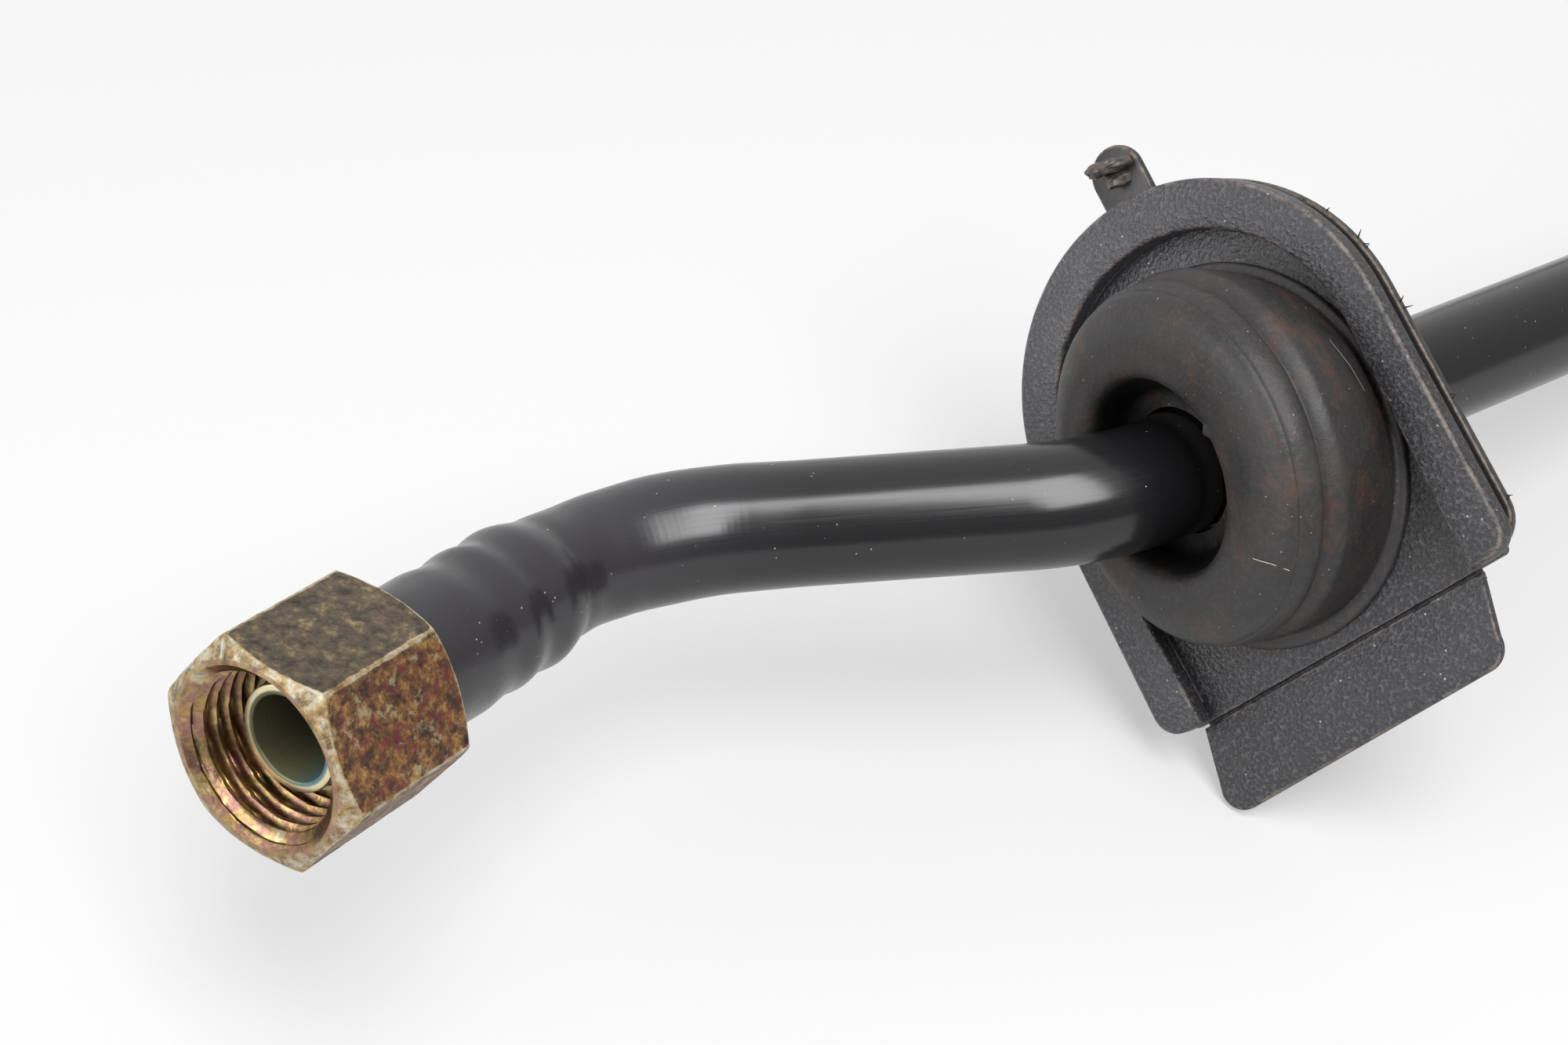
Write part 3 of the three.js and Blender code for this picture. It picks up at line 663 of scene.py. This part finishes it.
def makeNut():
    # a turned blank, pressed in to the hexagon's flats and cut out to the helix
    n = nutSet
    rows, threadEnd = nutRows()
    bm = turnedShape(rows, n["steps"])
    front, back = n["recess"], n["recess"] - n["length"]
    slope = math.tan(math.radians(n["chamfer"]))
    rubbed, damp, bore = (bm.verts.layers.float.new(name) for name in ("rubbed", "damp", "bore"))
    dampSide = nutFrame.to_3x3().inverted() @ Vector(n["dampTo"])
    for vert in bm.verts:
        x, y, z = vert.co / mm
        radius = math.hypot(x, y)
        angle = math.atan2(y, x)
        target = radius
        if abs(radius - nutCorner) < 1e-3:
            turn = (math.degrees(angle) - n["roll"]) % 60 - 30
            flat = n["flats"] / 2 / math.cos(math.radians(turn))
            fromCorner = (30 - abs(turn)) * math.pi / 180 * nutCorner
            worn = n["cornerWear"] * math.exp(-((fromCorner / n["cornerWidth"]) ** 2))
            chamfer = n["faceCircle"] / 2 + min(front - z, z - back) / slope
            target = min(flat - worn, chamfer)
            vert[rubbed] = max(
                math.exp(-((fromCorner / n["cornerRub"]) ** 2)),
                math.exp(-(((chamfer - flat) / n["chamferRub"]) ** 2)) * n["edgeRubbed"],
                n["chamferRubbed"] if chamfer < flat else 0,
            )
            facing = (x * dampSide.x + y * dampSide.y) / radius
            vert[damp] = smoothstep(facing, n["dampFrom"], n["dampFull"])
            target += n["uneven"] * noise.noise(Vector((x, y, z)) / n["unevenSize"])
        elif radius < n["leadIn"] / 2 - 1e-3 and z > threadEnd - 1e-4:
            phase = (z / n["pitch"] - angle / math.tau) % 1
            groove = min(max((1 - abs(2 * phase - 1) - n["crest"]) / n["flank"], 0), 1)
            fade = smoothstep(z, threadEnd, threadEnd + n["runOut"])
            target = max(radius, n["minor"] / 2 + n["depth"] * groove * fade)
        vert.co.x *= target / radius
        vert.co.y *= target / radius
        if radius <= n["faceCircle"] / 2 + 1e-3:
            vert[rubbed] = n["faceRubbed"]
            vert[bore] = 1 if radius < n["leadIn"] / 2 + 0.05 else n["faceBright"]
    bmesh.ops.transform(bm, matrix=nutFrame, verts=bm.verts[:])
    nut = newObject("unionNut", bm, 28)
    dress(nut, "nut", "union_nut", wornZinc(), "union_nut")


makeNut()
# the cutting ring keeps its own shape and takes the tube's plating
ringMesh = bpy.data.objects["cutting_ring"].data
ringMesh.materials.clear()
ringMesh.materials.append(bpy.data.materials["platedSteelTube"])
print("union nut")

# bulkhead plate: front flange with its raised rim, sunk floor, and tab

plateSet = {
    "at": (-5.2, 23.4, 33.5), "azimuth": -136.8, "elevation": 26.6, "roll": 58,
    "half": 21.2, "drop": 27.4, "corner": 2.6, "rim": 2.4, "slot": 1.2, "slotDepth": 2, "web": 1.4, "floor": 2.9,
    "recess": 17.3, "recessDrop": 1.1, "recessFoot": 16.4,
    "tabHeight": 9.4, "tabThickness": 1.1, "tabTop": (-18.2, 16), "tabLean": -1.6, "tabSkew": 0.8, "tabCorner": 2.4,
    "foldGap": 0.34, "foldDepth": 0.95, "foldInset": 0.2, "overlap": 0.3, "foldOverlap": 0.6,
    # how far the edges are rounded over
    "edge": 0.42, "tabEdge": 0.28, "webEdge": 0.12, "hiddenEdge": 0.05, "smallestCorner": 0.4,
}
azimuth, elevation = math.radians(plateSet["azimuth"]), math.radians(plateSet["elevation"])
plateFacing = Vector((
    math.cos(elevation) * math.cos(azimuth), math.cos(elevation) * math.sin(azimuth), math.sin(elevation),
))
plateFrame = frameAt(Vector(plateSet["at"]) * mm + tabCorner, plateFacing, plateSet["roll"])


def arc(x, y, radius, start, end, steps):
    turns = [math.radians(start + (end - start) * k / steps) for k in range(steps + 1)]
    return [(x + radius * math.cos(t), y + radius * math.sin(t)) for t in turns]


def plateArcs(inset, drop, corner):
    # the arched top from right to left, the lower left corner and the lower right corner
    half, foot = plateSet["half"] - inset, inset - drop
    corner = max(corner - inset, plateSet["smallestCorner"])
    return (
        arc(0, 0, half, 0, 180, 72), arc(corner - half, foot + corner, corner, 180, 270, 8),
        arc(half - corner, foot + corner, corner, 270, 360, 8),
    )


def plateOutline(inset, drop, corner):
    arch, left, right = plateArcs(inset, drop, corner)
    return arch + left + right


def rimOutline(inset):
    # up the right side, over the top and down the left side, then back along the recess
    p = plateSet
    arch, left, right = plateArcs(inset, p["drop"], p["corner"])
    foot = inset - p["drop"]
    recess = [(-p["recessFoot"], foot), *arc(0, -p["recessDrop"], p["recess"], 180, 0, 72), (p["recessFoot"], foot)]
    return right + arch + left + recess


def slab(bm, outline, low, high, edge):
    # a flat piece with its edges rounded over; its "scuffed" attribute marks the middle of the rounding
    scuffed = bm.verts.layers.float.get("scuffed") or bm.verts.layers.float.new("scuffed")
    verts = [bm.verts.new((x * mm, y * mm, low * mm)) for x, y in outline]
    base = bm.faces.new(verts)
    grown = bmesh.ops.extrude_face_region(bm, geom=[base])["geom"]
    top = [g for g in grown if isinstance(g, bmesh.types.BMVert)]
    bmesh.ops.translate(bm, verts=top, vec=(0, 0, (high - low) * mm))
    rims = [e for v in top + verts for e in v.link_edges if abs(e.verts[0].co.z - e.verts[1].co.z) < 1e-7]
    made = bmesh.ops.bevel(
        bm, geom=list(set(rims)), offset=edge * mm, offset_type="OFFSET", affect="EDGES",
        segments=3, profile=0.5, material=-1, clamp_overlap=True,
    )
    rounding = set(made["faces"])
    for vert in {v for face in rounding for v in face.verts}:
        vert[scuffed] = 1.0 if all(face in rounding for face in vert.link_faces) else 0.0


def onPlate(name, bm, smoothAngle):
    # out of the plate's frame into the world
    bmesh.ops.recalc_face_normals(bm, faces=bm.faces[:])
    bmesh.ops.transform(bm, matrix=plateFrame, verts=bm.verts[:])
    return newObject(name, bm, smoothAngle)


def makePlate():
    # rim, the wall that carries it inside the slot, floor, tab, and the thin web of the tab's fold
    p = plateSet
    bm = bmesh.new()
    back = -p["floor"] - p["tabThickness"]
    slab(bm, rimOutline(0), -p["rim"], 0, p["edge"])
    slab(bm, rimOutline(p["slotDepth"]), -p["floor"] - p["overlap"], -p["rim"] + p["overlap"], p["hiddenEdge"])
    floor = plateOutline(p["slotDepth"], p["drop"] + p["slotDepth"], p["corner"])
    slab(bm, floor, -p["rim"] - p["web"], -p["floor"], p["webEdge"])
    top = -p["drop"] - p["foldGap"]
    foot = -p["drop"] - p["tabHeight"]
    leftTop, rightTop = p["tabTop"]
    left, right = leftTop + p["tabLean"], rightTop + p["tabLean"]
    c = p["tabCorner"]
    tab = ([(leftTop, top)] + arc(left + c, foot + c, c, 180, 270, 10)
           + arc(right - c, foot + p["tabSkew"] + c, c, 270, 360, 10) + [(rightTop, top)])
    slab(bm, tab, back, -p["floor"], p["tabEdge"])
    foldRight, foldLeft = rightTop - p["foldInset"], leftTop + p["foldInset"]
    foldTop, foldFoot = -p["drop"] + p["foldOverlap"], top - p["foldOverlap"]
    fold = [(foldRight, foldFoot), (foldRight, foldTop), (foldLeft, foldTop), (foldLeft, foldFoot)]
    slab(bm, fold, back + 0.02, -p["floor"] - p["foldDepth"], p["hiddenEdge"])
    dress(onPlate("bulkheadPlate", bm, 40), "line", "bulkhead_plate", grainedPolyamide(), "bulkhead_plate")


makePlate()
print("bulkhead plate")

# rear flange: thin rubber, with an ear that kept a torn stub

flangeSet = {
    "thickness": 1.2, "short": 0.7, "corner": 3.6, "edge": 0.35,
    "earHalf": 3, "earOffset": 1.2, "earReach": 27.9, "earRoot": 4, "earEdge": 0.4,
    "stubRoot": (3.4, 25.3, -0.2), "stubTip": (0.7, 25.4, 3.5), "lipAt": (1.6, 24.2, 0.5),
    # half width, half thickness and half length of the tongue and the lip; the tongue's length is the stub's
    "tongue": (1.05, 0.7), "lip": (0.95, 0.7, 1.2), "tongueRoll": 60, "lipRoll": 20,
    # size and height of the folds along the fibres and of the lumps; the root keeps this share of them
    "folds": [(0.45, 0.7), (1.2, 0.6)], "rootRagged": 0.25, "stubScuffed": 0.6,
    # flash left on the right-hand edge: height, reach, lean
    "hairRoot": 0.12, "hairTip": 0.03, "hairSunk": 0.15, "hairDepth": 0.4,
    "hairs": [
        (9.2, 0.6, 0.2), (5.2, 1.1, 0.6), (4.6, 0.8, -0.5), (4.1, 0.6, 0.1), (-2.2, 0.9, 0.5), (-2.7, 1.1, -0.3),
        (-11.9, 0.8, -0.6), (-12.5, 0.6, 0.3), (-22.6, 0.8, -0.4), (-23.1, 0.6, 0.5),
    ],
}


def addHairs(bm, high):
    f = flangeSet
    for up, reach, lean in f["hairs"]:
        out = math.sqrt(plateSet["half"] ** 2 - max(up, 0) ** 2) - f["hairSunk"]
        way = Vector((1, lean, 0.35 * lean)).normalized()
        start = Vector((out, up, high - f["hairDepth"])) * mm
        bmesh.ops.create_cone(
            bm, cap_ends=True, segments=6, radius1=f["hairRoot"] * mm, radius2=f["hairTip"] * mm, depth=reach * mm,
            matrix=frameAt(start + way * reach * mm / 2, way),
        )


def addStub(bm, high):
    # the stub of a torn-off pull: a ragged tongue leaning out over the ear's edge, and a curled lip under it
    f = flangeSet
    scuffed = bm.verts.layers.float["scuffed"]
    root, tip, lipAt = (
        Vector((x, y, high + rise)) * mm for x, y, rise in (f["stubRoot"], f["stubTip"], f["lipAt"])
    )
    lie = (tip - root).normalized()
    tongue = (*[half * mm for half in f["tongue"]], (tip - root).length / 2)
    lip = [half * mm for half in f["lip"]]
    for size, at in (
        (tongue, frameAt((root + tip) / 2, lie, f["tongueRoll"])), (lip, frameAt(lipAt, lie, f["lipRoll"])),
    ):
        lobe = bmesh.ops.create_icosphere(bm, subdivisions=5, radius=1.0)["verts"]
        # from a ball towards a cylinder with round ends
        for vert in lobe:
            blunt = (1 - min(abs(vert.co.z), 1) ** 5) ** 0.2 / max(math.hypot(vert.co.x, vert.co.y), 0.05)
            vert.co.x *= blunt
            vert.co.y *= blunt
        bmesh.ops.scale(bm, vec=size, verts=lobe)
        bmesh.ops.transform(bm, matrix=at, verts=lobe)
        (fibreSize, fibreHeight), (foldSize, foldHeight) = f["folds"]
        for vert in lobe:
            along = (vert.co - root).dot(lie) / (tip - root).length
            ragged = f["rootRagged"] + (1 - f["rootRagged"]) * smoothstep(along, 0.3, 1)
            # the folds run with the fibres, four times as long as they are wide
            fibres = vert.co - lie * vert.co.dot(lie) * 0.75
            torn = (noise.noise(fibres / (fibreSize * mm)) * fibreHeight
                    + noise.noise(vert.co / (foldSize * mm)) * foldHeight)
            vert.co += (vert.co - at.to_translation()).normalized() * torn * ragged * mm
            vert[scuffed] = f["stubScuffed"]


def makeFlange():
    f, p = flangeSet, plateSet
    high = -p["rim"] - p["slot"]
    low = high - f["thickness"]
    bm = bmesh.new()
    slab(bm, plateOutline(0, p["drop"] - f["short"], f["corner"]), low, high, f["edge"])
    left, right, earRoot = f["earOffset"] - f["earHalf"], f["earOffset"] + f["earHalf"], p["half"] - f["earRoot"]
    tip = arc(f["earOffset"], f["earReach"] - f["earHalf"], f["earHalf"], 0, 180, 24)
    slab(bm, [(left, earRoot), (right, earRoot)] + tip, low, high, f["earEdge"])
    addHairs(bm, high)
    addStub(bm, high)
    dress(onPlate("rearFlange", bm, 40), "line", "rear_flange", cutRubber(), "rear_flange")


makeFlange()
print("rear flange")

# grommet: an oval foot on the floor, a rolled nose that leans with the tube

grommetSet = {
    "drop": 6.6, "foot": 19.4, "oval": 0.875, "nose": 17.3, "height": 10, "tilt": 22.3, "noseShift": (-2, 0.35),
    "hole": 9.7, "lip": 2.8, "lipThickness": 1.8, "neck": 15.4, "rearLip": 17.4, "steps": 240,
    # the foot's rubber keeps this far over the floor and rises with each row; it stays inside the oval up to a
    # height over the rim, from a little inside the nose's edge outwards
    "fit": 0.3, "rowRise": 0.014, "pressedTo": 1.5, "pressedIn": 0.9,
    # how closely the rings in the hole lean to the tube's direction
    "follow": 0.8,
    # a lump at the hole's edge: place, height and width
    "nub": (5.5, -6.0, 11.3), "nubHeight": 0.5, "nubWidth": 0.55,
    # size and share of the two waves that make the rubber uneven
    "uneven": 0.07, "waves": [(6, 1), (2.2, 0.5)],
    # how dark the painted shade in the hole gets, over what depth, and within what radii it fades towards the lip
    "holeShadeMost": 0.85, "holeShadeFrom": 0.2, "holeShadeTo": 1.6, "holeShadeRadii": (7.4, 8.4),
    # how white each strand is, and its points
    "fluff": [
        (0.8, [(3.8, -18.3, 11.5), (4.5, -18.9, 11.72), (5.3, -19.6, 11.7), (6.3, -20.9, 11.0)]),
        (0.25, [(15.1, 1.2, 1.4), (16.0, -1.3, 2.6), (16.85, -3.8, 3.45), (17.1, -6.2, 3.0), (16.7, -8.7, 2.0)]),
    ],
}


def grommetRows():
    # radius, height over the floor, how far over to the nose's tilt, how far the ring follows the tube
    g, p = grommetSet, plateSet
    # how far the rubber keeps off the plate's faces
    foot = gap = 0.05
    web = p["floor"] - p["rim"] - p["web"] - gap
    back = web - 1.6
    lipBack = g["lip"] - g["lipThickness"]
    hidden = [
        (6.35, lipBack, 0, 1), (7.2, lipBack, 0, 1), (7.2, web, 0, 1), (9, back, 0, 0.5),
        (g["rearLip"] - 0.8, back, 0, 0), (g["rearLip"], back + 0.6, 0, 0), (g["rearLip"], web, 0, 0),
        (g["neck"], web, 0, 0), (g["neck"], foot, 0, 0), (g["foot"] - 0.15, foot, 0, 0),
    ]
    nose, high, hole = g["nose"], g["height"], g["hole"]
    shown = [
        (g["foot"], foot + 0.25, 0, 0), (g["foot"] - 0.02, foot + 0.6, 0, 0), (g["foot"] - 0.25, foot + 0.85, 0, 0),
        (nose + 1.1, foot + 1.0, 0.02, 0), (nose + 0.75, foot + 1.35, 0.08, 0), (nose + 0.7, foot + 2.4, 0.3, 0),
        (nose + 0.8, foot + 3.9, 0.68, 0), (nose + 1.02, high - 4.9, 0.93, 0), (nose + 1.08, high - 4.4, 1, 0),
        (nose + 0.95, high - 3.8, 1, 0), (nose + 0.6, high - 3.2, 1, 0), (nose + 0.22, high - 2.8, 1, 0),
        (nose + 0.16, high - 2.62, 1, 0), (nose + 0.45, high - 2.4, 1, 0), (nose + 0.62, high - 1.9, 1, 0),
        (nose + 0.55, high - 1.1, 1, 0), (nose + 0.22, high - 0.25, 1, 0), (nose + 0.02, high - 0.05, 1, 0),
        (nose + 0.04, high + 0.1, 1, 0), (nose - 0.3, high + 0.6, 1, 0.01), (nose - 1, high + 1.1, 1, 0.04),
        (nose - 2.1, high + 1.4, 1, 0.09), (nose - 3.5, high + 1.45, 1, 0.16), (nose - 4.9, high + 1.1, 1, 0.24),
        (hole + 1.25, high + 0.65, 1, 0.32), (hole + 0.4, high + 0.1, 1, 0.36), (hole + 0.02, high - 0.8, 1, 0.42),
        (hole - 0.1, high - 2.6, 1, 0.54), (hole - 0.4, high - 4.6, 1, 0.75), (hole - 0.8, g["lip"] + 1.1, 1, 0.95),
        (hole - 1.4, g["lip"] + 0.25, 1, 1), (hole - 2.4, g["lip"], 1, 1), (6.45, g["lip"], 1, 1),
    ]
    return hidden + curved(shown, 5), len(hidden) - 1


def pressIn(point, lowest):
    # keeps rubber inside the foot's oval where it is pressed down between floor and rim
    g = grommetSet
    point.z = max(point.z, lowest)
    if point.z > g["pressedTo"] * mm:
        return
    centre = -g["drop"] * mm
    fromFoot = math.hypot(point.x / g["oval"], point.y - centre)
    shrink = min(1, g["foot"] * mm / fromFoot)
    point.x *= shrink
    point.y = (point.y - centre) * shrink + centre


def makeGrommet():
    # rings placed one by one between the foot on the floor, the tilted nose and the tube in the hole
    g, p = grommetSet, plateSet
    rows, footRow = grommetRows()
    # turned with its row numbers as heights, so that each vert finds its row again
    bm = turnedShape([(row[0], k) for k, row in enumerate(rows)], g["steps"])
    paintedHoleShade = bm.verts.layers.float.new("paintedHoleShade")
    inverse = plateFrame.inverted()
    corners = [inverse @ (Vector(at) * mm + tabCorner) for at, bend in route[2:4]]
    tubeAxis = (corners[0] - corners[1]).normalized()
    onFloor = corners[0] + tubeAxis * ((-p["floor"] * mm - corners[0].z) / tubeAxis.z)
    out = Vector((0, 0, 1))
    tilt = math.radians(g["tilt"])
    noseAxis = Vector((-math.sin(tilt), 0, math.cos(tilt)))
    footPoint = Vector((0, -g["drop"], -p["floor"])) * mm
    nosePoint = footPoint + Vector((*g["noseShift"], g["height"])) * mm
    for vert in bm.verts:
        row = round(vert.co.z / mm)
        radius, height, over, shift = rows[row]
        # painted shade, darkest down in the hole and fading out towards the lip
        if row > footRow and radius < g["hole"] + 0.3:
            down = smoothstep(g["height"] - height, g["holeShadeFrom"], g["holeShadeTo"])
            vert[paintedHoleShade] = g["holeShadeMost"] * down * smoothstep(radius, *g["holeShadeRadii"])
        axis = out.lerp(noseAxis, over).normalized().lerp(tubeAxis, shift * g["follow"]).normalized()
        followed = onFloor + tubeAxis * (height * mm / tubeAxis.z)
        tilted = nosePoint + noseAxis * ((height - g["height"]) * mm / noseAxis.z)
        plain = (footPoint + out * height * mm).lerp(tilted, over)
        oval = g["oval"] + (1 - g["oval"]) * max(over, shift)
        spread = out.rotation_difference(axis) @ Vector((vert.co.x * oval, vert.co.y, 0))
        vert.co = plain.lerp(followed, shift) + spread
        if row > footRow and radius > g["nose"] - g["pressedIn"]:
            pressIn(vert.co, (g["fit"] - p["floor"] + g["rowRise"] * (row - footRow)) * mm)
    bm.normal_update()
    for vert in bm.verts:
        uneven = sum(share * noise.noise(vert.co / (size * mm)) for size, share in g["waves"]) * g["uneven"]
        fromNub = (vert.co / mm - Vector(g["nub"])).length
        nub = g["nubHeight"] * math.exp(-((fromNub / g["nubWidth"]) ** 2))
        vert.co += vert.normal * (uneven + nub) * mm
    addFluff(bm, g["fluff"])
    dress(onPlate("grommetBody", bm, 50), "line", "grommet", mouldedRubber(), "grommet")


makeGrommet()
print("grommet")

scene = bpy.context.scene
scene.view_settings.view_transform = "Standard"
